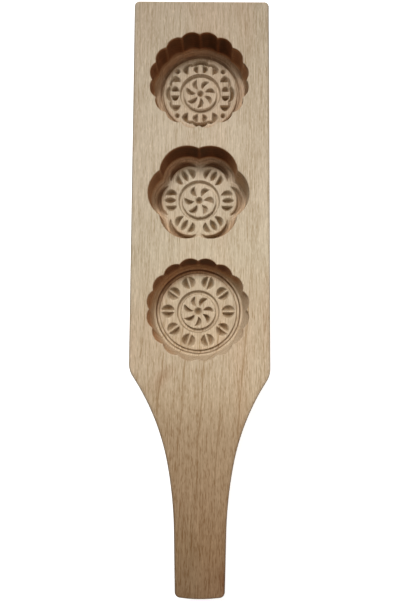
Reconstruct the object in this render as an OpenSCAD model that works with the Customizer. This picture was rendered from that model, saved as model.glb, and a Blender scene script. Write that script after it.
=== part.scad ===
// Hand mould for filled biscuits: one beech board with three carved hollows and a waisted handle.
// The dough is pressed into a hollow and knocked out, so each hollow carries its pattern in reverse.
// The back lies on the plane z = 0, the carved face looks up, and the head end is at +Y.

/* [Board] */
// Overall length, head end to handle end
board_len = 367; // [340:1:420]
// Width of the head
head_w = 86; // [82:0.5:100]
// Thickness of the board
board_t = 26; // [24:0.5:36]
// Corner radius at the head end, seen from above
head_corner_r = 3; // [2.6:0.1:8]
// Radius sanded onto every long edge
edge_ease = 2; // [1:0.1:2.5]

/* [Handle] */
// Width across the end of the handle
handle_end_w = 29.4; // [26:0.1:34]
// Sideways place of the handle's axis, which is cut by eye
handle_shift = 0.9; // [-2:0.1:2]
// Taper of each side of the grip, in degrees
handle_taper = 1.3; // [0:0.1:3]
// Length of the straight grip
grip_len = 37; // [20:1:50]
// Radius of the long curve above the grip
blend_r = 240; // [180:5:300]
// Turn of the long curve, in degrees
blend_turn = 9.5; // [6:0.5:12]
// Radius of the hollow curve below the shoulders
neck_r = 140; // [110:1:180]
// Radius of the rounded shoulders
shoulder_r = 14; // [6:0.5:18]
// Radius of the crowned end of the handle
end_crown_r = 90; // [60:1:150]
// Corner radius at the end of the handle
end_corner_r = 3.2; // [2.6:0.1:6]

/* [Hollows] */
// Head end to the centre of the first hollow
first_hollow = 52.3; // [48:0.1:56]
// Centre to centre of the hollows
hollow_pitch = 72.4; // [70:0.1:76]
// Sideways place of the row of hollows, which is cut by eye
hollow_shift = -1.3; // [-3:0.1:3]
// Radius to the outside of a hollow's mouth
mouth_r = 31.5; // [30:0.1:33]
// Height of the ridges between the flutes
scallop = 1.9; // [1.2:0.1:2.2]
// Number of flutes round a fluted hollow
flutes = 16; // [12:1:20]
// Depth of the steep fluted hollow
steep_depth = 16; // [14:0.1:18]
// Set-in of the steep hollow's round foot from the ridges of its flutes
steep_lean = 0.7; // [0.3:0.1:1.5]
// Radius of the cove at the foot of the steep walls
steep_cove_r = 1.2; // [1.1:0.1:1.8]
// Depth of the six-lobed hollow
lobed_depth = 16; // [14:0.1:18]
// Radius of one lobe at the mouth
lobe_r = 17.2; // [16:0.1:18]
// Inward lean of the lobed walls, mouth to cove
lobed_lean = 0.8; // [0.3:0.1:1.5]
// Radius of the cove at the foot of the lobed walls
lobed_cove_r = 1.7; // [1.2:0.1:3]
// Depth of the sloped fluted hollow
sloped_depth = 13; // [11:0.1:16]
// Inward lean of the sloped walls, mouth to cove
sloped_lean = 2.9; // [2:0.1:3.2]
// Radius of the cove at the foot of the sloped walls
sloped_cove_r = 1.6; // [1.1:0.1:2]

/* [Carving] */
// Depth of the V-cut rings
ring_d = 1.3; // [0.8:0.1:1.8]
// Width of the V-cut rings
ring_w = 2.3; // [1.6:0.1:2.8]
// Radius of the ring round the pinwheel
inner_ring_r = 12.4; // [11.5:0.1:13]
// Radius of the ring at the edge of a floor
outer_ring_r = 25.2; // [24.5:0.1:25.4]
// Depth of the gouge cuts
gouge_d = 1.6; // [1:0.1:2]
// Radius of the pit at the centre
pit_r = 2.3; // [1.8:0.1:2.6]
// Length of a pinwheel blade
blade_len = 6.2; // [5:0.1:6.6]
// Width of a pinwheel blade
blade_w = 2.6; // [1.8:0.1:2.8]
// Lean of a pinwheel blade from the radius, in degrees
blade_lean = 24; // [10:1:35]
// Radius to the middle of the blades
blade_at = 6.3; // [6:0.1:6.6]
// Length of a leaf or petal cut
leaf_len = 8.2; // [6:0.1:8.6]
// Radius to the middle of the leaves and petals
leaf_at = 19.2; // [19:0.1:19.6]
// Width of a half leaf
leaf_w = 3.9; // [3:0.1:4.2]
// Ridge left between the two halves of a leaf
leaf_rib = 0.9; // [0.6:0.1:1.4]
// Number of leaves on the sloped hollow's floor
leaves = 10; // [8:1:10]
// Width of the lens cut in the middle of a petal
lens_w = 3.6; // [2.6:0.1:4]
// Ridge left beside the lens cut
petal_rib = 1.5; // [1.2:0.1:2]
// Radius of the groove round a petal
petal_groove_r = 12.2; // [11.5:0.1:12.6]
// Half width of the middle finger on the steep hollow's floor
finger_half = 1.4; // [1.2:0.1:2]
// Width of a side finger
finger_w = 3.2; // [2.8:0.1:3.8]
// Length of the cuts between the fingers
finger_len = 5.8; // [5:0.1:6]
// Width of the cuts between the fingers
finger_cut_w = 3.5; // [2.6:0.1:3.8]
// Radius to the middle of the cuts between the fingers
finger_at = 16.8; // [16.6:0.1:17.6]
// Radius to the four dots between the sectors
dot_at = 21.7; // [21:0.1:22]
// Radius of those dots
dot_r = 1.6; // [1.2:0.1:1.8]

/* [Hidden] */
$fn = 64;

// Steps along the rounded stretches of the outline and round a sanded edge
corner_steps = 5;
shoulder_steps = 6;
neck_steps = 10;
blend_steps = 5;
crown_steps = 3;
ease_steps = 4;
// Half angle of the small flat left at the tip of the crowned end
tip_flat = 1.5;
// Reach of a cutter past the face that it enters by
over = 1;
// Sink of the cove below the floor, which leaves a crisp line at its foot
cove_sink = 0.12;
// Reach of a gouge cutter past the rim of its cut, as a share of the cut
cut_past = 1.1;
// Flat at the bottom of a lens cut
lens_flat = 0.3;
// Bottom of a pit, as a share of its rim
pit_tip = 0.4;
// Set-in of the outer cuts of a finger group and of a petal, and of a petal's groove
finger_cut_in = 0.4;
petal_cut_in = 0.8;
petal_groove_in = 1.2;
// Turn of the groove round a petal, in degrees
petal_groove_turn = 96;
// Spare reach of the sloping wall past the flutes at the mouth
sloped_rim = 0.2;
// Lobes of the six-lobed hollow, steps round each, and steps up its cove
lobes = 6;
lobe_steps = 14;
cove_steps = 4;
lobe_step = 360 / lobes;
lobe_at = mouth_r - lobe_r;

head_half = head_w / 2;
head_y = board_len / 2;
tail_y = -board_len / 2;

// Outward direction at an angle in degrees
function dir(a) = [cos(a), sin(a)];

// Centres of the curves on one side of the handle, with the handle's axis on x = 0
grip_top = [handle_end_w / 2 + grip_len * tan(handle_taper), tail_y + grip_len];
blend_c = grip_top + blend_r * dir(-handle_taper);
neck_angle = handle_taper + blend_turn;
neck_c = blend_c + (neck_r - blend_r) * dir(-neck_angle);
crown_c = [0, tail_y + end_crown_r * cos(tip_flat)];
// The end corner touches the side of the grip and the crown from inside
grip_dir = dir(90 - handle_taper);
corner_line = [handle_end_w / 2, tail_y] - end_corner_r * dir(-handle_taper) - crown_c;
corner_along = corner_line * grip_dir;
corner_gap = end_crown_r - end_corner_r;
corner_reach = sqrt(pow(corner_along, 2) - corner_line * corner_line + pow(corner_gap, 2));
corner_c = crown_c + corner_line - (corner_along + corner_reach) * grip_dir;
corner_angle = atan2(corner_c.y - crown_c.y, corner_c.x - crown_c.x);

// One side of the outline as arcs: centre, signed radius (negative where hollow), first and last
// outward angle, steps, and the first step kept, which is 1 where the last arc ends on its first point.
// side is 1 on the right and -1 on the left.
function side_arcs(side) =
    let (shift = [side * handle_shift, 0])
    let (neck = neck_c + shift)
    let (shoulder_x = head_half - shoulder_r)
    let (rise = sqrt(pow(neck_r + shoulder_r, 2) - pow(neck.x - shoulder_x, 2)))
    let (shoulder = [shoulder_x, neck.y + rise])
    let (fall = atan2(-rise, neck.x - shoulder_x))
    [
        [[head_half, head_y] - head_corner_r * [1, 1], head_corner_r, 90, 0, corner_steps, 0],
        [shoulder, shoulder_r, 0, fall, shoulder_steps, 0],
        [neck, -neck_r, fall, -neck_angle, neck_steps, 1],
        [blend_c + shift, -blend_r, -neck_angle, -handle_taper, blend_steps, 1],
        [corner_c + shift, end_corner_r, -handle_taper, corner_angle, corner_steps, 0],
        [crown_c + shift, end_crown_r, corner_angle, tip_flat - 90, crown_steps, 1],
    ];

// Points of one side, set in from the outline by inset
function side_points(side, inset) =
    [
        for (arc = side_arcs(side))
            for (k = [arc[5] : arc[4]])
                let (a = arc[2] + (arc[3] - arc[2]) * k / arc[4])
                let (p = arc[0] + (arc[1] - inset) * dir(a))
                [side * p.x, p.y]
    ];

// Inset and height of each level of the blank, up the eased edges of the back and of the face
function ease_level(k) =
    let (a = 90 * k / ease_steps)
    edge_ease * [1 - sin(a), 1 - cos(a)];
function blank_levels() = [
    for (k = [0 : ease_steps]) ease_level(k),
    for (k = [ease_steps : -1 : 0]) [ease_level(k)[0], board_t - ease_level(k)[1]]
];

// The board before carving: levels joined into one closed skin
module blank() {
    levels = blank_levels();
    n = len(side_points(1, 0));
    ring = 2 * n;
    points = [
        for (l = levels)
            for (side = [1, -1])
                for (p = side_points(side, l[0])) [p.x, p.y, l[1]]
    ];
    // Index of point i of one side at a level, and the walk round the whole outline
    function at(level, side, i) = level * ring + (side > 0 ? i : n + i);
    function round_at(level, j) = j < n ? at(level, 1, j) : at(level, -1, ring - 1 - j);
    top = len(levels) - 1;
    walls = [
        for (l = [0 : top - 1])
            for (j = [0 : ring - 1])
                let (k = (j + 1) % ring)
                [round_at(l, j), round_at(l, k), round_at(l + 1, k), round_at(l + 1, j)]
    ];
    // A strip from side to side, walked round from the first side given
    function strip(level, side, i) =
        [at(level, side, i), at(level, side, i + 1), at(level, -side, i + 1), at(level, -side, i)];
    face = [for (i = [0 : n - 2]) strip(top, 1, i)];
    back = [for (i = [0 : n - 2]) strip(0, -1, i)];
    polyhedron(points, concat(walls, face, back));
}

// A turned cup with leaning walls, a cove and a flat floor, its mouth on z = 0
module cup(cup_r, lean, depth, cove_r) {
    foot_r = cup_r - lean;
    cove_z = depth - cove_r;
    rotate_extrude() intersection() {
        translate([0, -depth]) square([cup_r + over, depth + over]);
        union() {
            polygon([[0, over], [cup_r, over], [cup_r, 0], [foot_r, -cove_z], [0, -cove_z]]);
            translate([0, -depth]) square([foot_r - cove_r, depth]);
            translate([foot_r - cove_r, -cove_z - cove_sink]) circle(cove_r);
        }
    }
}

// The fluted outline, cut straight down: round flutes side by side that meet in sharp ridges
module flutes_down(depth) {
    ridge_r = mouth_r - scallop;
    half = 180 / flutes;
    rise = mouth_r - ridge_r * cos(half);
    flute_r = (pow(ridge_r * sin(half), 2) + rise * rise) / (2 * rise);
    translate([0, 0, -depth]) linear_extrude(depth + over) {
        circle(mouth_r - flute_r);
        for (k = [0 : flutes - 1])
            rotate((2 * k + 1) * half) translate([mouth_r - flute_r, 0]) circle(flute_r);
    }
}

// A hollow with upright flutes that run out at 45 degrees on to the top of the cove
module steep_walls() {
    cup_r = mouth_r - scallop - steep_lean;
    cove_top = steep_cove_r - steep_depth;
    out = mouth_r - cup_r + over;
    cup(cup_r, 0, steep_depth, steep_cove_r);
    intersection() {
        flutes_down(steep_depth);
        rotate_extrude() polygon([
            [0, over],
            [cup_r + out, over],
            [cup_r + out, cove_top + out],
            [cup_r - over, cove_top - over],
            [0, cove_top - over],
        ]);
    }
}

// A hollow with sloping walls, whose flutes fade out half way down
module sloped_walls() {
    intersection() {
        flutes_down(sloped_depth + over);
        cup(mouth_r + sloped_rim, sloped_lean + sloped_rim, sloped_depth, sloped_cove_r);
    }
}

// Distance from the middle to the lobed outline, inset from the mouth's line
function lobed_reach(angle, inset) =
    let (off = angle - lobe_step * round(angle / lobe_step))
    lobe_at * cos(off) + sqrt(pow(lobe_r - inset, 2) - pow(lobe_at * sin(off), 2));

// Inset and height of each level of the lobed hollow, floor first
function lobed_levels() = concat(
    [for (k = [cove_steps : -1 : 0]) let (t = 90 * k / cove_steps)
        [lobed_lean + lobed_cove_r * (1 - cos(t)), lobed_cove_r * (1 - sin(t)) - lobed_depth]],
    [[0, 0], [0, over]]
);

// A hollow of round lobes that meet in ridges, with the cove following them on to the floor
module lobed_walls() {
    levels = lobed_levels();
    ring = lobes * lobe_steps;
    top = len(levels) - 1;
    points = concat(
        [for (l = levels) for (j = [0 : ring - 1])
            let (a = 360 * j / ring)
            let (p = lobed_reach(a, l[0]) * dir(a))
            [p.x, p.y, l[1]]],
        [[0, 0, levels[0][1]], [0, 0, levels[top][1]]]
    );
    floor_mid = len(points) - 2;
    mouth_mid = len(points) - 1;
    function at(level, j) = level * ring + j % ring;
    walls = [
        for (l = [0 : top - 1])
            for (j = [0 : ring - 1]) [at(l, j), at(l + 1, j), at(l + 1, j + 1), at(l, j + 1)]
    ];
    floor = [for (j = [0 : ring - 1]) [floor_mid, at(0, j), at(0, j + 1)]];
    mouth = [for (j = [0 : ring - 1]) [mouth_mid, at(top, j + 1), at(top, j)]];
    polyhedron(points, concat(walls, floor, mouth));
}

// A ring cut with a V tool into a floor on z = 0
module v_ring(r, angle = 360) {
    half_w = ring_w / 2;
    slope = half_w / ring_d;
    rotate_extrude(angle = angle)
        polygon([[r, -ring_d], [r + half_w + slope * over, over], [r - half_w - slope * over, over]]);
}

// Wheel radius that leaves a cut of a given length at a given depth
function wheel_r(length) = (length * length / 4 + gouge_d * gouge_d) / (2 * gouge_d);

// A half-moon cut along X: an upright wall on y = 0 and a slope up to the rim on the +Y side
module half_moon(length, width) {
    r = wheel_r(length);
    translate([0, 0, r - gouge_d]) rotate([-90, 0, 0])
        cylinder(h = width * cut_past, r1 = r, r2 = r - gouge_d * cut_past);
}

// A lens cut along X, sloped on both sides
module lens(length, width) {
    r = wheel_r(length);
    rim = r - gouge_d * cut_past;
    flat = lens_flat / 2;
    half_w = flat + (width / 2 - flat) * cut_past;
    translate([0, 0, r - gouge_d]) rotate([-90, 0, 0]) rotate_extrude()
        polygon([[0, -half_w], [rim, -half_w], [r, -flat], [r, flat], [rim, half_w], [0, half_w]]);
}

// A round pit drilled with a pointed tool
module pit(r) {
    spread = (1 - pit_tip) * over / gouge_d;
    translate([0, 0, -gouge_d]) cylinder(h = gouge_d + over, r1 = r * pit_tip, r2 = r * (1 + spread));
}

// The ring, the pit and the swirling blades at the middle of a floor
module pinwheel(blades, first) {
    v_ring(inner_ring_r);
    pit(pit_r);
    for (k = [0 : blades - 1])
        rotate(first + 360 * k / blades) translate([blade_at, -blade_w / 2]) rotate(-blade_lean)
            half_moon(blade_len, blade_w);
}

// Steep fluted hollow: four groups of fingers between cuts, with a dot in each corner
module steep_hollow() {
    first_blade = 18;
    blades = 7;
    side_cut = finger_half + finger_cut_w + finger_w;
    steep_walls();
    translate([0, 0, -steep_depth]) {
        v_ring(outer_ring_r);
        pinwheel(blades, first_blade);
        for (q = [0 : 3]) rotate(90 * q) {
            for (m = [0, 1]) mirror([0, m]) {
                translate([finger_at, finger_half]) half_moon(finger_len, finger_cut_w);
                translate([finger_at - finger_cut_in, side_cut]) half_moon(finger_len, finger_cut_w);
            }
            rotate(45) translate([dot_at, 0]) pit(dot_r);
        }
    }
}

// Six-lobed hollow: a petal of three cuts in each lobe, with a groove round its outer end
module lobed_hollow() {
    first_blade = 4;
    side_cut = lens_w / 2 + petal_rib;
    lobed_walls();
    translate([0, 0, -lobed_depth]) {
        pinwheel(lobes, first_blade);
        for (k = [0 : lobes - 1]) rotate(360 * k / lobes) {
            translate([lobe_at - petal_groove_in, 0]) rotate(-petal_groove_turn / 2)
                v_ring(petal_groove_r, petal_groove_turn);
            translate([leaf_at, 0]) lens(leaf_len, lens_w);
            for (m = [0, 1]) mirror([0, m])
                translate([leaf_at - petal_cut_in, side_cut]) half_moon(leaf_len, leaf_w);
        }
    }
}

// Sloped fluted hollow: a wreath of split leaves inside a ring
module sloped_hollow() {
    first_blade = 14;
    blades = 7;
    sloped_walls();
    translate([0, 0, -sloped_depth]) {
        v_ring(outer_ring_r);
        pinwheel(blades, first_blade);
        for (k = [0 : leaves - 1]) rotate(360 * k / leaves)
            for (m = [0, 1]) mirror([0, m]) translate([leaf_at, leaf_rib / 2]) half_moon(leaf_len, leaf_w);
    }
}

// Place of hollow number i on the carved face
module at_hollow(i) {
    translate([hollow_shift, head_y - first_hollow - i * hollow_pitch, board_t]) children();
}

module mold_board() {
    color("burlywood") difference() {
        blank();
        at_hollow(0) steep_hollow();
        at_hollow(1) lobed_hollow();
        at_hollow(2) sloped_hollow();
    }
}

mold_board();
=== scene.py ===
import math
import random

import bmesh
import bpy
import numpy as np
from mathutils import Matrix, Vector


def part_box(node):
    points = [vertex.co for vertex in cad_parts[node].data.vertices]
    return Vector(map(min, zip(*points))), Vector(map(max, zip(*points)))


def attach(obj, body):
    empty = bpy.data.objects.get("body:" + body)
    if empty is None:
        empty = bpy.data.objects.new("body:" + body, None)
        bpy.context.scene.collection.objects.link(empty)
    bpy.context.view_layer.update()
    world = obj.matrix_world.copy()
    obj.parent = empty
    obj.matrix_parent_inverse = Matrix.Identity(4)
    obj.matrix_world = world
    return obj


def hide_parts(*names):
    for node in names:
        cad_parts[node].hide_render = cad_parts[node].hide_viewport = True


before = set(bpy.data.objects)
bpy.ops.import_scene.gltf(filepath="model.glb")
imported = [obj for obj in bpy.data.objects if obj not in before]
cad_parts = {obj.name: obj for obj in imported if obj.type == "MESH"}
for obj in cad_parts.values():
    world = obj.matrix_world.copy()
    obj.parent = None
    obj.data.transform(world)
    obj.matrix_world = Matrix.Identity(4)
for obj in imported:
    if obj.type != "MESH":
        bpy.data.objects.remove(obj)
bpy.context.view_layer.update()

# The blank: one beech plank, sawn to a broad head and a waisted handle with a bandsaw.
# Every long edge is sanded round by hand. It is drawn in millimetres, walking down
# each side of the outline, and brought to metres once the hollows are in it.
MM = 0.001
low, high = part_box("mold_board")
head_y = high[1] / MM
tail_y = low[1] / MM
head_half = (high[0] - low[0]) / MM / 2
board_t = (high[2] - low[2]) / MM
edge_ease = 2.0
ease_steps = 5
head_corner_r = 3.0
shoulder_r = 14.0
neck_r = 140.0
blend_r = 240.0
blend_turn = math.radians(9.5)
handle_end_w = 29.4
handle_taper = math.radians(1.3)
handle_shift = 0.9
grip_len = 37.0
end_crown_r = 90.0
end_corner_r = 3.2
tip_flat = math.radians(1.5)
corner_steps, shoulder_steps, neck_steps, blend_steps, crown_steps = 8, 12, 26, 10, 8
quarter_turn = math.pi / 2


def toward(angle):
    return Vector((math.cos(angle), math.sin(angle), 0))


def straight_to(bm, vert, place):
    """Draws a straight line on from a vertex, and gives its end."""
    drawn = bmesh.ops.extrude_vert_indiv(bm, verts=[vert])["verts"][0]
    drawn.co = place
    return drawn


def arc_from(bm, vert, centre, turn, steps, axis=(0, 0, 1)):
    """Draws an arc on from a vertex about a centre, and gives its end."""
    swung = bmesh.ops.spin(bm, geom=[vert], cent=centre, axis=axis, angle=turn, steps=steps)
    return next(g for g in swung["geom_last"] if isinstance(g, bmesh.types.BMVert))


def outline_side(bm, side):
    """One side of the outline from the head end to the tip, and its first and last vertex."""
    shift = Vector((side * handle_shift, 0, 0))
    grip_top_half = handle_end_w / 2 + grip_len * math.tan(handle_taper)
    grip_top = Vector((grip_top_half, tail_y + grip_len, 0)) + shift
    blend_c = grip_top + blend_r * toward(-handle_taper)
    neck_angle = handle_taper + blend_turn
    neck_c = blend_c + (neck_r - blend_r) * toward(-neck_angle)
    shoulder_x = head_half - shoulder_r
    rise = math.sqrt((neck_r + shoulder_r) ** 2 - (neck_c.x - shoulder_x) ** 2)
    shoulder_c = Vector((shoulder_x, neck_c.y + rise, 0))
    fall = math.atan2(-rise, neck_c.x - shoulder_x)
    crown_c = Vector((0, tail_y + end_crown_r * math.cos(tip_flat), 0)) + shift
    grip_dir = toward(quarter_turn - handle_taper)
    grip_foot = Vector((handle_end_w / 2, tail_y, 0)) + shift
    grip_line = grip_foot - end_corner_r * toward(-handle_taper) - crown_c
    along = grip_line.dot(grip_dir)
    reach = math.sqrt(along ** 2 - grip_line.length_squared + (end_crown_r - end_corner_r) ** 2)
    corner_c = crown_c + grip_line - (along + reach) * grip_dir
    corner_angle = math.atan2(corner_c.y - crown_c.y, corner_c.x - crown_c.x)

    head_c = Vector((head_half - head_corner_r, head_y - head_corner_r, 0))
    first = bm.verts.new(head_c + Vector((0, head_corner_r, 0)))
    last = arc_from(bm, first, head_c, -quarter_turn, corner_steps)
    last = straight_to(bm, last, shoulder_c + Vector((shoulder_r, 0, 0)))
    last = arc_from(bm, last, shoulder_c, fall, shoulder_steps)
    last = arc_from(bm, last, neck_c, -neck_angle - fall, neck_steps)
    last = arc_from(bm, last, blend_c, blend_turn, blend_steps)
    last = straight_to(bm, last, corner_c + end_corner_r * toward(-handle_taper))
    last = arc_from(bm, last, corner_c, corner_angle + handle_taper, corner_steps)
    last = arc_from(bm, last, crown_c, tip_flat - quarter_turn - corner_angle, crown_steps)
    return first, last


board = bmesh.new()
right_ends = outline_side(board, 1)
right_side = set(board.verts)
left_ends = outline_side(board, -1)
bmesh.ops.scale(board, vec=(-1, 1, 1), verts=[v for v in board.verts if v not in right_side])
for pair in zip(right_ends, left_ends):
    bmesh.ops.contextual_create(board, geom=list(pair))
back = bmesh.ops.contextual_create(board, geom=board.edges[:])["faces"]
raised = bmesh.ops.extrude_face_region(board, geom=back)["geom"]
raised = [g for g in raised if isinstance(g, bmesh.types.BMVert)]
bmesh.ops.translate(board, vec=(0, 0, board_t), verts=raised)
bmesh.ops.recalc_face_normals(board, faces=board.faces[:])
arrises = [e for e in board.edges if e.verts[0].co.z == e.verts[1].co.z]
bmesh.ops.bevel(board, geom=arrises, offset=edge_ease, offset_type="OFFSET", segments=ease_steps,
                profile=0.5, affect="EDGES", material=-1, clamp_overlap=False)
topmost = max(board.faces, key=lambda f: f.calc_center_median().z)
bmesh.ops.delete(board, geom=[topmost], context="FACES_ONLY")

# The hollows: three round molds cut into the face with gouges, each for one shape of
# biscuit. A hollow is turned as a plain cup first, its walls are then pushed out into
# flutes or lobes, and the pattern is cut into its floor. Depths are below the face.
hollow_x = -1.3
first_hollow_y = head_y - 52.3
hollow_pitch = 72.4
mouth_r = 31.5
lip_r = 0.5
floor_step = 0.4
weld = 0.004
cove_steps, wall_parts, lip_steps = 9, 8, 3
# The points keep their stain and painted shade, their dirt and painted shade in the cuts, and their place
# along the gouge's strokes
for kept_at_points in ("stain_and_shade", "cut", "stroke"):
    board.verts.layers.float.new(kept_at_points)


def turn_cup(floor_rings, cove_r, top_r, depth, sectors, spokes):
    """Turns a cup with a flat floor, a cove, a leaning wall and a rounded lip about the Z axis.

    The floor has an edge at each of the radii in floor_rings, and the last one is its own.
    One sector is turned, with a number of spokes, and then set again and again round the axis.
    """
    cup = bmesh.new()
    last = cup.verts.new((0, 0, -depth))
    lines = []
    for r in floor_rings:
        drawn = straight_to(cup, last, (r, 0, -depth))
        parts = round((drawn.co - last.co).length / floor_step)
        lines.append((cup.edges.get((last, drawn)), parts))
        last = drawn
    cove_c = (floor_rings[-1], 0, cove_r - depth)
    wall_foot = arc_from(cup, last, cove_c, -quarter_turn, cove_steps, (0, 1, 0))
    wall_top = straight_to(cup, wall_foot, (top_r, 0, -lip_r))
    lines.append((cup.edges.get((wall_foot, wall_top)), wall_parts))
    arc_from(cup, wall_top, (top_r + lip_r, 0, -lip_r), quarter_turn, lip_steps, (0, 1, 0))
    for line, parts in lines:
        if parts > 1:
            bmesh.ops.subdivide_edges(cup, edges=[line], cuts=parts - 1)
    sector = math.tau / sectors
    bmesh.ops.spin(cup, geom=cup.edges[:], cent=(0, 0, 0), axis=(0, 0, 1), angle=sector, steps=spokes)
    whole = cup.verts[:] + cup.edges[:] + cup.faces[:]
    bmesh.ops.spin(cup, geom=whole, cent=(0, 0, 0), axis=(0, 0, 1), angle=math.tau - sector,
                   steps=sectors - 1, use_duplicate=True)
    bmesh.ops.remove_doubles(cup, verts=cup.verts[:], dist=weld)
    return cup


def limited(value):
    """A value kept between nought and one."""
    return np.clip(value, 0, 1)


# Two of the mouths have a scalloped outline of round flutes that meet in sharp ridges
flutes = 16
scallop = 1.9


def fluted_reach(angle):
    """Radius of the scalloped outline at an angle."""
    half = math.pi / flutes
    ridge_r = mouth_r - scallop
    rise = mouth_r - ridge_r * math.cos(half)
    flute_r = ((ridge_r * math.sin(half)) ** 2 + rise ** 2) / (2 * rise)
    off = (angle % (2 * half)) - half
    centre = mouth_r - flute_r
    return centre * np.cos(off) + np.sqrt(flute_r ** 2 - (centre * np.sin(off)) ** 2)


# The shape that the gouges leave: how round a cut is across and how it runs out to its ends,
# how its width dies away there, and how far across a half moon its deepest line lies
gouge_curve = 0.65
end_curve = 0.4
moon_taper = 0.6
lens_taper = 0.75
moon_deepest = 0.36
hair = 1e-6


def groove(distance, width, depth):
    """Depth of a cut made with a round gouge, at a distance from its middle line."""
    return depth * limited(1 - (2 * distance / width) ** 2) ** gouge_curve


def channel(r, ring, depth):
    """Depth of a ring cut with a square-ended gouge, given its rims and the corners of its flat bottom."""
    return depth * np.interp(r, ring, (0, 1, 1, 0))


def pit(x, y, at, radius, depth):
    """Depth of a round pit."""
    return groove(np.hypot(x - at[0], y - at[1]), 2 * radius, depth)


def turned(x, y, turn, at=(0, 0)):
    """How far places lie along a direction from a point, and to the left of it."""
    along = (x - at[0]) * math.cos(turn) + (y - at[1]) * math.sin(turn)
    aside = (y - at[1]) * math.cos(turn) - (x - at[0]) * math.sin(turn)
    return along, aside


def off_deepest(across, deepest):
    """Nought on the deepest line of a cut, and one at both of its rims."""
    return np.where(across < deepest, 1 - across / deepest, (across - deepest) / (1 - deepest))


def half_moon(x, y, at, size, turn=0.0, bow=0.0):
    """Depth of a gouge cut of a length, width and depth, with a steep straight edge along the turn.

    From that edge it slopes up to a curved rim on its left. A bow bends the edge that way too.
    """
    length, width, depth = size
    along, aside = turned(x, y, turn, at)
    share = limited(1 - (2 * along / length) ** 2)
    across = (aside - bow * share) / (width * share ** moon_taper + hair)
    off = off_deepest(across, moon_deepest)
    return depth * share ** end_curve * limited(1 - off ** 2) ** gouge_curve


def lens(x, y, at, size):
    """Depth of a gouge cut that is pointed at both ends, and as long, wide and deep as its size says."""
    length, width, depth = size
    along, aside = turned(x, y, 0.0, at)
    share = limited(1 - (2 * along / length) ** 2)
    return share ** end_curve * groove(aside, width * share ** lens_taper + hair, depth)


# How far the hand strays in the length, width and depth of a cut, as a share of each
chips = random.Random(7)
hand_stray = (0.05, 0.06, 0.08)


def about(value, share):
    """A size as the hand cuts it, a little more or less each time."""
    return value * (1 + chips.uniform(-share, share))


def by_hand(size, stray=hand_stray):
    return [about(value, share) for value, share in zip(size, stray)]


def polar(r, angle):
    return r * math.cos(angle), r * math.sin(angle)


# The middle of each floor: a ring, and in it a pinwheel of blades round a pit
middle_ring = (10.8, 11.2, 13.0, 13.5)
middle_ring_depth = 2.2
middle_pit_depth = 2.8
blade_at = 6.3
blade_len = 6.6
blade_depth = 2.6
blade_bow = 0.3
blade_back = 0.45
blade_lean = math.radians(24)
blade_stray = (0.06, 0.08, 0.10)
turn_stray = 0.04
lean_stray = 0.06


def pinwheel(x, y, blades, first, blade_w, pit_r):
    """Depth of the pattern at the middle of a floor, with its first blade at an angle in degrees."""
    cut = channel(np.hypot(x, y), middle_ring, middle_ring_depth)
    cut = np.maximum(cut, pit(x, y, (0, 0), pit_r, middle_pit_depth))
    behind = blade_back * blade_w
    for k in range(blades):
        angle = math.radians(first) + math.tau * k / blades + chips.uniform(-turn_stray, turn_stray)
        lean = blade_lean + chips.uniform(-lean_stray, lean_stray)
        middle = polar(blade_at, angle)
        edge = (middle[0] + behind * math.sin(angle), middle[1] - behind * math.cos(angle))
        size = by_hand((blade_len, blade_w, blade_depth), blade_stray)
        cut = np.maximum(cut, half_moon(x, y, edge, size, angle - lean, blade_bow))
    return cut


# Painted shade on the walls of the hollows, in reddish brown, most on the head side and less on the left,
# where the walls
# face away from the lamp: its strength by the angle round the mouth. It reaches full strength later away
# from the head, is left off the lip, and is thinner on the ridges as painted light.
wall_shade_at = (0, 30, 60, 90, 120, 150, 180, 210, 240, 270, 320, 360)
wall_shade_by = (0.04, 0.28, 0.92, 1.0, 0.90, 0.68, 0.50, 0.46, 0.26, 0.05, 0.02, 0.04)
full_later = 3.0
shade_curve = 1.5
lip_unshaded = 0.8
ridge_w = 1.2
ridge_lighter = 0.25


def shade_on_wall(r, angle, z, up, ridges, first_ridge, begins, full_by, keen):
    """Painted shade on a wall that begins at a height above the floor and is full by another one.

    The keener it is, the more it keeps to the head side.
    """
    full = full_by + full_later * (1 - limited(np.sin(angle))) ** shade_curve
    wall = limited((up - begins) / (full - begins)) * limited(-z / lip_unshaded)
    half = math.pi / ridges
    ridge = np.exp(-(((angle - first_ridge + half) % (2 * half) - half) * r / ridge_w) ** 2)
    shaded = np.interp(np.degrees(angle) % 360, wall_shade_at, wall_shade_by) ** keen
    return wall * shaded * (1 - ridge_lighter * ridge)


# The ledge round a floor: a stain all round, thinner at the upper right as painted light against the shadow
# there, and painted shade towards the head
ledge_lighter_turn = 0.8
ledge_lighter = 0.6
ledge_head_turn = 0.3


def stain_and_shade_on_ledge(angle, ledge, deep, all_round, headside, head_cuts):
    """Stain and painted shade on a ledge, given the stain all round, and the painted shade towards the head
    and in the cuts there.
    """
    headward = limited(np.sin(angle - ledge_head_turn)) ** shade_curve
    flat = all_round * (1 - ledge_lighter * limited(np.cos(angle - ledge_lighter_turn)) ** 2)
    return ledge * (flat + headside * headward + head_cuts * deep * headward)


# Dirt and painted shade fill the deep cuts, less on the sides of the ledge, and painted shade lies thinly at
# the foot of the near wall, in the corner under the near lip and on the shelf towards the head and the left
cut_shade_curve = 1.6
side_lighter = 0.5
foot_shade = 0.12
foot_r, foot_soft = 26.8, 0.5
foot_top, foot_fade = 7.0, 5.0
foot_turn = math.radians(75)
corner_h = 0.25
corner_spread, corner_start = 1.6, 0.3
shelf_turn = 1.9
ring_edge_w = 0.55
ring_shade = 0.4
ring_bottom_shade, ring_edge_shade = 0.06, 0.86


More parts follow.
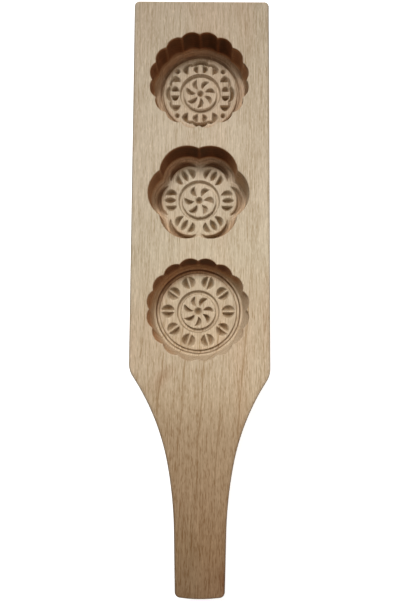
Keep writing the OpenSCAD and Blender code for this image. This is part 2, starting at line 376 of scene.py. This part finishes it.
def dirt_and_shade_on_floor(r, angle, up, near_floor, ledge, deep, corner_shade, shelf_shade, rings):
    """Dirt and painted shade in the cuts, and painted shade in the corner, on the shelf and on both sides of
    each ring.

    Each ring comes with the width by which its painted shade spreads over its inner side towards the handle.
    """
    foot = limited((r - foot_r) / foot_soft) * limited((foot_top - up) / foot_fade)
    foot = foot * limited(np.cos(angle + foot_turn))
    corner = near_floor * limited(up / corner_h)
    corner = corner * limited(-corner_spread * np.sin(angle) - corner_start)
    lighter_sides = 1 - side_lighter * ledge * np.abs(np.cos(angle))
    shelf = ledge * limited(np.cos(angle - shelf_turn))
    dirt_and_shade = np.maximum.reduce([deep ** cut_shade_curve * lighter_sides, corner_shade * corner * lighter_sides,
                              foot_shade * foot, shelf_shade * shelf])
    for ring, shade_spread in rings:
        inner_w = ring_edge_w + shade_spread * limited(-np.sin(angle))
        outer_w = ring_edge_w + ring_shade * limited(np.sin(angle))
        inner = np.abs(r - (ring[0] + ring[1]) / 2) / inner_w
        outer = np.abs(r - (ring[2] + ring[3]) / 2) / outer_w
        edges = ring_bottom_shade + ring_edge_shade * limited(1 - np.minimum(inner, outer))
        dirt_and_shade = np.where((r > ring[0]) & (r < ring[3]), edges, dirt_and_shade)
    return dirt_and_shade


# The floor's cuts die out on the cove, and the gouge's strokes are counted up from the ledge
cuts_top, cuts_fade = 2.4, 0.8
cut_full = 2.8
ledge_r, ledge_soft = 22.0, 5.0
strokes_r = 22.5


def carve(cup, number, depth, floor_shift, reshape, floor_cuts, wall_shade, ledge_stain_and_shade, floor_dirt_and_shade):
    """Gives a turned cup its own outline, cuts its floor and sets it into the face of the board.

    The floor lies off the middle of the mouth by the floor_shift. The last three are what the
    functions for the stain and painted shade and for the dirt and painted shade ask for. Each point keeps
    its stain and painted shade, its dirt and painted shade, and how far along the gouge's strokes it lies.
    """
    stain_and_shade = cup.verts.layers.float.new("stain_and_shade")
    cut_dirt_and_shade_layer = cup.verts.layers.float.new("cut")
    stroke = cup.verts.layers.float.new("stroke")
    co = np.array([v.co for v in cup.verts])
    r, angle, z = np.hypot(co[:, 0], co[:, 1]), np.arctan2(co[:, 1], co[:, 0]), co[:, 2]
    up = z + depth
    strokes = (np.clip(r - strokes_r, 0, None) + up) * limited(-z / lip_r)
    r = reshape(r, angle, z)
    x, y = r * np.cos(angle), r * np.sin(angle)
    near_floor = limited((cuts_top - up) / cuts_fade)
    cut = floor_cuts(x, y) * near_floor
    deep = limited(cut / cut_full)
    ledge = near_floor * limited((r - ledge_r) / ledge_soft)
    # Stain and painted shade on the wall and the ledge, and dirt and painted shade on the floor
    stain_and_shade_share = np.maximum(shade_on_wall(r, angle, z, up, **wall_shade), stain_and_shade_on_ledge(angle, ledge, deep, **ledge_stain_and_shade))
    dirt_and_shade = dirt_and_shade_on_floor(r, angle, up, near_floor, ledge, deep, **floor_dirt_and_shade)
    down = limited(-z / depth)
    x = hollow_x + x + floor_shift[0] * down
    y = first_hollow_y - number * hollow_pitch + y + floor_shift[1] * down
    z = board_t + z - cut
    for i, v in enumerate(cup.verts):
        v.co = (x[i], y[i], z[i])
        v[stain_and_shade] = stain_and_shade_share[i]
        v[cut_dirt_and_shade_layer] = dirt_and_shade[i]
        v[stroke] = strokes[i]
    skin = bpy.data.meshes.new("hollow_skin")
    cup.to_mesh(skin)
    cup.free()
    board.from_mesh(skin)
    bpy.data.meshes.remove(skin)


# The steep hollow, next to the head end: upright flutes that run out in a scoop just above
# the floor. Its floor has four groups of fingers, each inside a three-lobed bracket of a cap
# and two bows, with a dot in each corner and a ring round them all.
steep_depth = 16.0
steep_foot_r = 29.2
steep_cove_r = 1.2
steep_spokes = 22
steep_ring = (24.4, 24.8, 25.8, 26.2)
steep_ring_depth = 2.0
scoop_h = 3.5
scoop_share = 0.7
groups = 4
inner_finger_at, inner_finger = (16.8, 1.4), (5.4, 3.5, 2.8)
outer_finger_at, outer_finger = (16.4, 8.0), (6.4, 4.1, 2.8)
bow_c = (15.0, 6.6)
bow_r = 4.7
bow_w = 1.8
bow_depth = 2.3
bow_turn, bow_spread = 0.25, 0.75
cap_at = 14.4
cap_r = 7.1
cap_w = 3.0
cap_depth = 2.8
cap_spread = 0.86
dot_at = 21.5
dot_r = 1.7
dot_depth = 2.6


def steep_outline(r, angle, z):
    scoop = np.sqrt(limited((z + steep_depth - steep_cove_r) / scoop_h))
    foot = limited((r - steep_ring[-1]) / (steep_foot_r - steep_ring[-1]))
    return r + (fluted_reach(angle) - steep_foot_r) * ((1 - scoop_share) * foot + scoop_share * scoop)


def steep_floor(x, y):
    cut = channel(np.hypot(x, y), steep_ring, steep_ring_depth)
    cut = np.maximum(cut, pinwheel(x, y, blades=7, first=18, blade_w=3.1, pit_r=2.1))
    for group in range(groups):
        turn = math.tau / groups * group
        u, v = turned(x, y, turn)
        for side in (1, -1):
            inner = half_moon(u, side * v, inner_finger_at, by_hand(inner_finger))
            outer = half_moon(u, side * v, outer_finger_at, by_hand(outer_finger))
            bow_u, bow_v = u - bow_c[0], side * v - bow_c[1]
            bow_share = limited(1 - ((np.arctan2(bow_v, bow_u) - bow_turn) / bow_spread) ** 2)
            bow = groove(np.hypot(bow_u, bow_v) - bow_r, bow_w, bow_depth) * np.sqrt(bow_share)
            cut = np.maximum.reduce([cut, inner, outer, bow])
        cap_share = limited(1 - (np.arctan2(v, u - cap_at) / cap_spread) ** 2)
        cap_across = about(cap_w, hand_stray[1]) * np.sqrt(cap_share) + hair
        cap = groove(np.hypot(u - cap_at, v) - cap_r, cap_across, about(cap_depth, hand_stray[2]))
        dot_c = polar(dot_at, turn + math.pi / groups)
        dot = pit(x, y, dot_c, about(dot_r, hand_stray[1]), dot_depth)
        cut = np.maximum.reduce([cut, cap * cap_share ** end_curve, dot])
    return cut


steep_rings = (*middle_ring, *steep_ring, steep_foot_r - steep_cove_r)
steep_cup = turn_cup(steep_rings, steep_cove_r, steep_foot_r, steep_depth, flutes, steep_spokes)
# Its walls take painted shade, its ledge a stain and painted shade, and its floor dirt and painted shade
carve(steep_cup, number=0, depth=steep_depth, floor_shift=(0.63, 0.0),
      reshape=steep_outline, floor_cuts=steep_floor,
      wall_shade=dict(ridges=flutes, first_ridge=0, begins=0.9, full_by=2.0, keen=0.7),
      ledge_stain_and_shade=dict(all_round=0.17, headside=0.15, head_cuts=0.0),
      floor_dirt_and_shade=dict(corner_shade=0.0, shelf_shade=0.17, rings=[(middle_ring, 1.2), (steep_ring, 1.8)]))

# The lobed hollow, in the middle of the row: six round lobes that meet in ridges, the two on
# the handle side a little shorter. The middle of its floor stays round, and each lobe has a
# petal of three cuts with a crescent round its outer end.
lobed_depth = 16.0
lobes = 6
lobe_r = 17.2
lobe_at = mouth_r - lobe_r
lobes_short = 0.9
lobed_lean = 0.8
lobed_foot_r = 28.0
lobed_cove_r = 1.7
lobed_spokes = 29
round_share = 0.58
on_floor = 1e-4
petal_middle_at, petal_middle = (19.0, 0), (7.9, 3.7, 2.8)
petal_side_at, petal_side = (18.3, 3.5), (7.6, 3.7, 2.8)
crescent_at = 12.1
crescent_r = 12.5
crescent_w = 4.1
crescent_depth = 3.2
crescent_spread = math.radians(52)
crescent_deepest, deepest_shift = 0.45, 0.2


def lobed_reach(angle, inset):
    """Radius of the outline of lobes, drawn in by an inset."""
    half = math.pi / lobes
    off = (angle + half) % (2 * half) - half
    across = np.clip((lobe_r - inset) ** 2 - (lobe_at * np.sin(off)) ** 2, 0, None)
    return lobe_at * np.cos(off) + np.sqrt(across) - lobes_short * limited(-np.sin(angle)) ** 2


def lobed_outline(r, angle, z):
    floor_r = lobed_foot_r - lobed_cove_r
    share = limited((r / floor_r - round_share) / (1 - round_share))
    share = share * share * (3 - 2 * share)
    floor_reach = r * (1 - share + share * lobed_reach(angle, lobed_lean + lobed_cove_r) / floor_r)
    drop = limited((-z - lip_r) / (lobed_depth - lobed_cove_r - lip_r))
    wall_reach = lobed_reach(angle, lobed_foot_r - r + lobed_lean * drop)
    return np.where(z + lobed_depth < on_floor, floor_reach, wall_reach)


def lobed_floor(x, y):
    cut = pinwheel(x, y, blades=6, first=4, blade_w=3.4, pit_r=2.4)
    for lobe in range(lobes):
        turn = math.tau / lobes * lobe
        u, v = turned(x, y, turn)
        cut = np.maximum(cut, lens(u, v, petal_middle_at, by_hand(petal_middle)))
        for side in (1, -1):
            cut = np.maximum(cut, half_moon(u, side * v, petal_side_at, by_hand(petal_side)))
        span = limited(1 - (np.arctan2(v, u - crescent_at) / crescent_spread) ** 2)
        across = (np.hypot(u - crescent_at, v) - crescent_r) / (crescent_w * span + hair)
        off = off_deepest(across, crescent_deepest + deepest_shift * math.sin(turn))
        crescent = crescent_depth * limited(1 - off ** 2) ** gouge_curve * np.sqrt(span)
        cut = np.maximum(cut, crescent)
    return cut


lobed_rings = (*middle_ring, lobed_foot_r - lobed_cove_r)
lobed_cup = turn_cup(lobed_rings, lobed_cove_r, lobed_foot_r, lobed_depth, 2 * lobes, lobed_spokes)
# Its walls take painted shade, its ledge a stain and painted shade, and its floor dirt and painted shade
carve(lobed_cup, number=1, depth=lobed_depth, floor_shift=(0.33, -0.3),
      reshape=lobed_outline, floor_cuts=lobed_floor,
      wall_shade=dict(ridges=lobes, first_ridge=math.pi / lobes, begins=0.6, full_by=2.6, keen=1.25),
      ledge_stain_and_shade=dict(all_round=0.17, headside=0.12, head_cuts=0.06),
      floor_dirt_and_shade=dict(corner_shade=0.85, shelf_shade=0.0, rings=[(middle_ring, 1.5)]))

# The sloped hollow, next to the handle: its walls lean well out, and its flutes fade out half
# way down them. Its floor has a wreath of ten split leaves inside a ring.
sloped_depth = 13.0
sloped_cove_r = 1.6
sloped_top_r = 31.7
sloped_spokes = 25
sloped_ring = (24.3, 24.7, 26.4, 27.0)
sloped_ring_depth = 1.7
flute_fade = 0.3
leaves = 10
half_leaf_at, half_leaf = (19.3, 0.5), (8.0, 3.8, 2.6)


def rounded_min(a, b, soft):
    """The lesser of two, rounded over where they meet."""
    gap = limited(0.5 + (b - a) / (2 * soft))
    return b + (a - b) * gap - soft * gap * (1 - gap)


def sloped_outline(r, angle, z):
    lip = np.clip(r - sloped_top_r, 0, None)
    wall_reach = rounded_min(r - lip, fluted_reach(angle), flute_fade) + lip
    return np.where(z + sloped_depth < sloped_cove_r, r, wall_reach)


def sloped_floor(x, y):
    cut = channel(np.hypot(x, y), sloped_ring, sloped_ring_depth)
    cut = np.maximum(cut, pinwheel(x, y, blades=7, first=14, blade_w=2.9, pit_r=2.5))
    for leaf in range(leaves):
        u, v = turned(x, y, math.tau / leaves * leaf)
        for side in (1, -1):
            cut = np.maximum(cut, half_moon(u, side * v, half_leaf_at, by_hand(half_leaf)))
    return cut


sloped_rings = (*middle_ring, *sloped_ring)
sloped_cup = turn_cup(sloped_rings, sloped_cove_r, sloped_top_r, sloped_depth, flutes, sloped_spokes)
# Its walls take painted shade, its ledge a stain and painted shade, and its floor dirt and painted shade
carve(sloped_cup, number=2, depth=sloped_depth, floor_shift=(0.16, -0.8),
      reshape=sloped_outline, floor_cuts=sloped_floor,
      wall_shade=dict(ridges=flutes, first_ridge=0, begins=0.0, full_by=6.0, keen=1.45),
      ledge_stain_and_shade=dict(all_round=0.0, headside=0.44, head_cuts=0.0),
      floor_dirt_and_shade=dict(corner_shade=0.0, shelf_shade=0.0, rings=[(middle_ring, 0.8), (sloped_ring, 0.5)]))

# The carved face: the flat of the plank that is left round the mouths of the hollows.
# It is planed, so it stays flat shaded up to the sanded edges and the lips.
open_edges = [e for e in board.edges if e.is_boundary]
planed = bmesh.ops.triangle_fill(board, use_beauty=True, edges=open_edges)["geom"]
planed = [g for g in planed if isinstance(g, bmesh.types.BMFace)]
bmesh.ops.recalc_face_normals(board, faces=board.faces[:])
for f in board.faces:
    f.smooth = True
for f in planed:
    f.smooth = False
bmesh.ops.scale(board, vec=(MM, MM, MM), verts=board.verts[:])
carved_mesh = bpy.data.meshes.new("carved_board")
board.to_mesh(carved_mesh)
board.free()
carved_board = bpy.data.objects.new("carved_board", carved_mesh)
bpy.context.scene.collection.objects.link(carved_board)
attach(carved_board, "root")
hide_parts("mold_board")

# The finish: bare beech, only rubbed with oil by use. Fine flecks and faint growth lines
# run the length of the plank, end grain is darker, the walls of the hollows carry painted shade on
# the head side, and the handle is browned by hands and darkened towards its tip by painted shade.
beech = bpy.data.materials.new("oiled_beech")
beech.use_nodes = True
nodes, links = beech.node_tree.nodes, beech.node_tree.links


def wood(kind, inputs, **settings):
    """Adds a node, with its settings, and each input given a value or the output that feeds it."""
    made = nodes.new("ShaderNode" + kind)
    for name, value in settings.items():
        setattr(made, name, value)
    for name, value in inputs.items():
        if isinstance(value, bpy.types.NodeSocket):
            links.new(value, made.inputs[name])
        else:
            made.inputs[name].default_value = value
    return made


def figure(cells, detail, roughness=0.5):
    """A noise with so many cells to a millimetre across the grain, along it and through the board."""
    stretched = wood("Mapping", {"Vector": millimetres, "Scale": cells}).outputs[0]
    return wood("TexNoise", {"Vector": stretched, "Scale": 1.0, "Detail": detail,
                             "Roughness": roughness}).outputs[0]


def ranged(value, start, end, to_start=0.0, to_end=1.0):
    """Brings a value from one range to another, and keeps it inside."""
    return wood("MapRange", {"Value": value, "From Min": start, "From Max": end,
                             "To Min": to_start, "To Max": to_end}).outputs[0]


def maths(operation, a, b=0.0):
    return wood("Math", {0: a, 1: b}, operation=operation).outputs[0]


def vector(operation, inputs, result=0):
    return wood("VectorMath", inputs, operation=operation).outputs[result]


def tinted(colour, tint, share):
    """A colour with a tint laid over it, as strongly as the share says."""
    return wood("Mix", {"Factor": share, 6: colour, 7: tint}, data_type="RGBA",
                blend_type="MULTIPLY").outputs[2]


def kept(name):
    """What the carving has kept at each point under a name."""
    return wood("Attribute", {}, attribute_name=name).outputs["Fac"]


place = wood("TexCoord", {}).outputs["Object"]
millimetres = wood("Mapping", {"Vector": place, "Scale": (1 / MM, 1 / MM, 1 / MM)}).outputs[0]
along_board, above_back = wood("SeparateXYZ", {"Vector": millimetres}).outputs[1:3]

# Growth lines: rings round a pith that lay below the board and to its left, a little aslant
pith_off = (150, 0, 95)
growth_slant = math.radians(3.9)
years_per_mm = 0.101
year_drift = 0.9
first_year = 0.59
late_wood = 0.80
late_curve = 3.0
slanted = wood("Mapping", {"Vector": millimetres, "Rotation": (0, 0, growth_slant)}).outputs[0]
from_pith = vector("ADD", {0: slanted, 1: pith_off})
from_pith = vector("MULTIPLY", {0: from_pith, 1: (1, 0, 1)})
from_pith = vector("LENGTH", {0: from_pith}, "Value")
drift = figure((0.02, 0.012, 0.02), 2.0)
year = maths("ADD", maths("MULTIPLY", from_pith, years_per_mm), maths("MULTIPLY", drift, year_drift))
year = maths("FRACT", maths("ADD", year, first_year))
growth = maths("POWER", ranged(year, late_wood, 1.0), late_curve)
patchy = ranged(figure((0.06, 0.03, 0.06), 2.0), 0.40, 0.56, 0.4, 1.0)
growth = maths("MULTIPLY", growth, patchy)
fainter_on_head = ranged(along_board, -35.0, 20.0, 1.0, 0.35)
growth = maths("MULTIPLY", growth, fainter_on_head)

# The wood's own colour: broad mottle and fine streaks, darkened by the growth lines and by short
# flecks, which are strongest on the handle, and lightened by glints
pale_beech = (0.705, 0.596, 0.452, 1)
mid_beech = (0.568, 0.471, 0.344, 1)
dark_beech = (0.39, 0.28, 0.165, 1)
rosy_beech = (1.02, 0.97, 0.95, 1)
mottle_by, streak_by, growth_by, glint_by = 0.5, 1.45, 0.66, 0.30
fleck_on_handle, fleck_on_head = 0.48, 0.22
darkest, palest, mid_stop = 0.44, 1.44, 0.52
mottle = figure((0.045, 0.012, 0.045), 2.0)
streak = figure((1.9, 0.075, 1.9), 2.0, 0.6)
fleck = ranged(figure((1.9, 0.25, 1.9), 1.0), 0.50, 0.68)
glint = ranged(figure((1.6, 0.32, 1.6), 1.0), 0.45, 0.27)
fleck_by = ranged(along_board, -100.0, -20.0, fleck_on_handle, fleck_on_head)
tone = maths("ADD", maths("MULTIPLY", mottle, mottle_by), maths("MULTIPLY", streak, streak_by))
tone = maths("SUBTRACT", tone, maths("MULTIPLY", growth, growth_by))
tone = maths("SUBTRACT", tone, maths("MULTIPLY", fleck, fleck_by))
tone = maths("ADD", tone, maths("MULTIPLY", glint, glint_by))
shades = wood("ValToRGB", {"Fac": ranged(tone, darkest, palest)})
shades.color_ramp.elements[0].color = dark_beech
shades.color_ramp.elements[1].color = pale_beech
shades.color_ramp.elements.new(mid_stop).color = mid_beech
rosy = ranged(figure((0.035, 0.007, 0.035), 2.0), 0.48, 0.66)
colour = tinted(shades.outputs[0], rosy_beech, rosy)

# Reddish smears in the wood: place, turn from the grain, half length, half width and strength
smears = [(-23, -55, -45, 15, 6, 0.6), (-29, -14, -20, 13, 6, 0.35), (16.0, -172, 0, 13, 5, 1.6),
          (40, -20, 0, 40, 4, 0.35)]
smear_tint = (0.74, 0.60, 0.52, 1)
smear_deep = 40
smear_core = 0.1
smeared = 0.0
for x, y, turn, length, width, strength in smears:
    spot = wood("Mapping", {"Vector": millimetres, "Location": (x, y, board_t),
                            "Rotation": (0, 0, math.radians(turn)), "Scale": (width, length, smear_deep)},
                vector_type="TEXTURE").outputs[0]
    spot = vector("LENGTH", {0: spot}, "Value")
    smeared = maths("MAXIMUM", smeared, ranged(spot, 1.0, smear_core, 0.0, strength))
smeared = maths("MULTIPLY", smeared, ranged(figure((0.3, 0.15, 0.3), 2.0), 0.3, 0.6, 0.4, 1.0))
colour = tinted(colour, smear_tint, smeared)

# Browning by hands along the board, from the tip of the handle to the middle of the head, with painted shade
# that darkens the handle towards its tip and painted light on the shoulders and the middle of the board
browning_light_and_shade_stops = [(-184, (0.635, 0.495, 0.385)), (-154, (0.71, 0.565, 0.43)), (-129, (0.805, 0.66, 0.535)),
           (-105, (0.85, 0.72, 0.60)), (-86, (0.91, 0.80, 0.69)), (-68, (1.05, 0.97, 0.875)),
           (-50, (1.13, 1.09, 1.04)), (-13, (1.07, 1.04, 1.0)), (22, (1.04, 1.06, 1.05)),
           (60, (1.0, 1.01, 1.01))]
along_from, along_to = browning_light_and_shade_stops[0][0], browning_light_and_shade_stops[-1][0]
browning_light_and_shade = wood("ValToRGB", {"Fac": ranged(along_board, along_from, along_to)})
for number, (y, shade) in enumerate(browning_light_and_shade_stops):
    where = (y - along_from) / (along_to - along_from)
    stop = browning_light_and_shade.color_ramp.elements[0] if number == 0 else browning_light_and_shade.color_ramp.elements.new(where)
    stop.position = where
    stop.color = (*shade, 1)
browning_light_and_shade.color_ramp.elements.remove(browning_light_and_shade.color_ramp.elements[-1])
colour = tinted(colour, browning_light_and_shade.outputs[0], 1.0)

# End grain on both ends, and a grey band of painted shade on the upper sanded edges, but not on the lips of
# the hollows
end_grain = (0.74, 0.66, 0.58, 1)
edge_shade_grey = (0.62, 0.62, 0.63, 1)
ends_from, ends_to = 172.0, 178.0
edge_from, edge_to = board_t - 2.4, board_t - 2.0
lip_stroke = 0.3
facing = wood("SeparateXYZ", {"Vector": wood("NewGeometry", {}).outputs["Normal"]}).outputs
ends = ranged(maths("ABSOLUTE", facing[1]), 0.55, 0.95)
ends = maths("MULTIPLY", ends, ranged(maths("ABSOLUTE", along_board), ends_from, ends_to))
colour = tinted(colour, end_grain, ends)
stroke = kept("stroke")
arris = maths("MULTIPLY", ranged(facing[2], 0.90, 0.60), ranged(facing[2], 0.02, 0.25))
outside = maths("MULTIPLY", ranged(stroke, lip_stroke, 0.0), ranged(above_back, edge_from, edge_to))
colour = tinted(colour, edge_shade_grey, maths("MULTIPLY", arris, outside))

# Painted shade on the walls, a stain and painted shade on the ledges, from faint to full, and dirt and
# painted shade in the cuts
darkest_wall_shade = (0.15, 0.074, 0.037, 1)
stain_and_shade_steps = [(0.15, (0.91, 0.77, 0.67, 1)), (0.33, (0.80, 0.52, 0.36, 1)), (0.75, (0.325, 0.145, 0.07, 1))]
cut_dirt_and_shade = (0.29, 0.205, 0.115, 1)
blotch = ranged(figure((0.13, 0.13, 0.05), 3.0), 0.3, 0.7, 0.86, 1.1)
stain_and_shade_ramp = wood("ValToRGB", {"Fac": maths("MULTIPLY", kept("stain_and_shade"), blotch)})
stain_and_shade_ramp.color_ramp.elements[0].color = (1, 1, 1, 1)
stain_and_shade_ramp.color_ramp.elements[1].color = darkest_wall_shade
for strength, shade in stain_and_shade_steps:
    stain_and_shade_ramp.color_ramp.elements.new(strength).color = shade
colour = tinted(colour, stain_and_shade_ramp.outputs[0], 1.0)
colour = tinted(colour, cut_dirt_and_shade, kept("cut"))

# Marks that the gouge has left round the walls, painted as light and shade instead of facets: painted light
# over the walls with wandering bands of painted shade
mark_light = (1.10, 1.12, 1.14, 1)
mark_shade = (0.70, 0.66, 0.63, 1)
marks_per_mm = 0.95
mark_wander = 3.0
first_stroke = 2.0
wander = maths("MULTIPLY", figure((0.11, 0.11, 0.11), 1.0), mark_wander)
bands = maths("ADD", maths("MULTIPLY", stroke, marks_per_mm), wander)
facet_shade = wood("TexNoise", {"W": bands, "Scale": 1.0, "Detail": 2.0}, noise_dimensions="1D").outputs[0]
inside = ranged(stroke, 0.0, first_stroke)
facet_shade = maths("MULTIPLY", ranged(facet_shade, 0.60, 0.36), inside)
colour = tinted(colour, mark_light, inside)
colour = tinted(colour, mark_shade, facet_shade)

# The surface: a dull sheen, a little smoother along the pale streaks, and the relief of the grain
wood_ior = 1.45
wood_gloss = 0.2
rough_dark, rough_pale = 0.66, 0.54
streak_relief, fleck_relief = 0.6, 0.5
relief_by = 0.35
relief_depth = 0.2 * MM
shader = nodes["Principled BSDF"]
shader.inputs["IOR"].default_value = wood_ior
shader.inputs["Specular IOR Level"].default_value = wood_gloss
links.new(colour, shader.inputs["Base Color"])
links.new(ranged(streak, 0.3, 0.7, rough_dark, rough_pale), shader.inputs["Roughness"])
grain = maths("SUBTRACT", maths("MULTIPLY", streak, streak_relief), maths("MULTIPLY", fleck, fleck_relief))
relief = wood("Bump", {"Height": grain, "Strength": relief_by, "Distance": relief_depth})
links.new(relief.outputs[0], shader.inputs["Normal"])
carved_mesh.materials.append(beech)

# The studio: a pale floor and a sky that the camera sees as white, while the sky lights the
# board only dimly. One soft lamp stands beyond the head end to the left, a weak warm one at
# the right, and another weak warm one hangs overhead.
floor_half = 8
floor_grey = (0.8, 0.8, 0.8, 1)
floor_rough = 0.9
floor_glow = 0.80
sky_warm = (1, 0.90, 0.80, 1)
sky_dim = 0.09
pure_white = (1, 1, 1, 1)


def seen_rays(nodes, links):
    """One for the rays that show a thing to the camera, straight or by a gloss, and nought for its light."""
    path = nodes.new("ShaderNodeLightPath")
    seen = path.outputs["Is Camera Ray"]
    for ray in ("Is Glossy Ray", "Is Transmission Ray"):
        either = nodes.new("ShaderNodeMath")
        either.operation = "MAXIMUM"
        links.new(seen, either.inputs[0])
        links.new(path.outputs[ray], either.inputs[1])
        seen = either.outputs[0]
    return seen


floor_mesh = bmesh.new()
bmesh.ops.create_grid(floor_mesh, x_segments=1, y_segments=1, size=floor_half)
floor_data = bpy.data.meshes.new("studio_floor")
floor_mesh.to_mesh(floor_data)
floor_mesh.free()
studio_floor = bpy.data.objects.new("studio_floor", floor_data)
bpy.context.scene.collection.objects.link(studio_floor)
pale = bpy.data.materials.new("pale_floor")
pale.use_nodes = True
nodes, links = pale.node_tree.nodes, pale.node_tree.links
floor_shader = nodes["Principled BSDF"]
floor_shader.inputs["Base Color"].default_value = floor_grey
floor_shader.inputs["Roughness"].default_value = floor_rough
floor_shader.inputs["Emission Color"].default_value = pure_white
glow = nodes.new("ShaderNodeMath")
glow.operation = "MULTIPLY"
links.new(seen_rays(nodes, links), glow.inputs[0])
glow.inputs[1].default_value = floor_glow
links.new(glow.outputs[0], floor_shader.inputs["Emission Strength"])
floor_data.materials.append(pale)

sky = bpy.data.worlds.new("dim_sky")
sky.use_nodes = True
nodes, links = sky.node_tree.nodes, sky.node_tree.links
dim = nodes["Background"]
dim.inputs["Color"].default_value = sky_warm
dim.inputs["Strength"].default_value = sky_dim
white = nodes.new("ShaderNodeBackground")
white.inputs["Color"].default_value = pure_white
white.inputs["Strength"].default_value = 1.0
either_sky = nodes.new("ShaderNodeMixShader")
links.new(seen_rays(nodes, links), either_sky.inputs[0])
links.new(dim.outputs[0], either_sky.inputs[1])
links.new(white.outputs[0], either_sky.inputs[2])
links.new(either_sky.outputs[0], nodes["World Output"].inputs["Surface"])
bpy.context.scene.world = sky


def hang_lamp(name, kind, watts, place, target):
    """Hangs a lamp at a place, shining towards a target, and gives its light."""
    light = bpy.data.lights.new(name, kind)
    light.energy = watts
    lamp = bpy.data.objects.new(name, light)
    lamp.location = place
    lamp.rotation_euler = (Vector(target) - Vector(place)).to_track_quat("-Z", "Y").to_euler()
    bpy.context.scene.collection.objects.link(lamp)
    return light


head_light = hang_lamp("head_lamp", "SPOT", watts=43.0, place=(-0.15, 0.56, 0.80), target=(0.03, 0.02, 0.02))
head_light.shadow_soft_size = 0.2
head_light.spot_size = math.radians(30)
head_light.spot_blend = 1

side_light = hang_lamp("side_lamp", "AREA", watts=0.55, place=(0.42, -0.04, 0.44), target=(0, 0.03, 0.02))
side_light.shape = "DISK"
side_light.size = 0.3
side_light.color = (1, 0.93, 0.85)

overhead_light = hang_lamp("overhead_lamp", "AREA", watts=0.5, place=(-0.02, 0.05, 0.75),
                           target=(-0.02, 0.05, 0))
overhead_light.shape = "DISK"
overhead_light.size = 0.4
overhead_light.color = (1, 0.89, 0.76)

# The camera: close above the handle's shoulders, looking almost straight down. Its lens is
# given by how far the picture lies from the eye, in pixels of the photograph.
photo_h = 601
eye_px = 420
sensor_h = 36
tilt = math.radians(3.59)
roll = math.radians(-0.35)
camera_data = bpy.data.cameras.new("camera")
camera_data.sensor_fit = "VERTICAL"
camera_data.sensor_height = sensor_h
camera_data.lens = eye_px * sensor_h / photo_h
camera = bpy.data.objects.new("camera", camera_data)
across = Vector((1, 0, 0))
upward = Vector((0, math.cos(tilt), math.sin(tilt)))
right = across * math.cos(roll) - upward * math.sin(roll)
top = across * math.sin(roll) + upward * math.cos(roll)
camera.matrix_world = Matrix((right, top, right.cross(top))).transposed().to_4x4()
camera.location = (0.0003, -0.0242, 0.2812)
bpy.context.scene.collection.objects.link(camera)
bpy.context.scene.camera = camera
bpy.context.scene.view_settings.view_transform = "Standard"
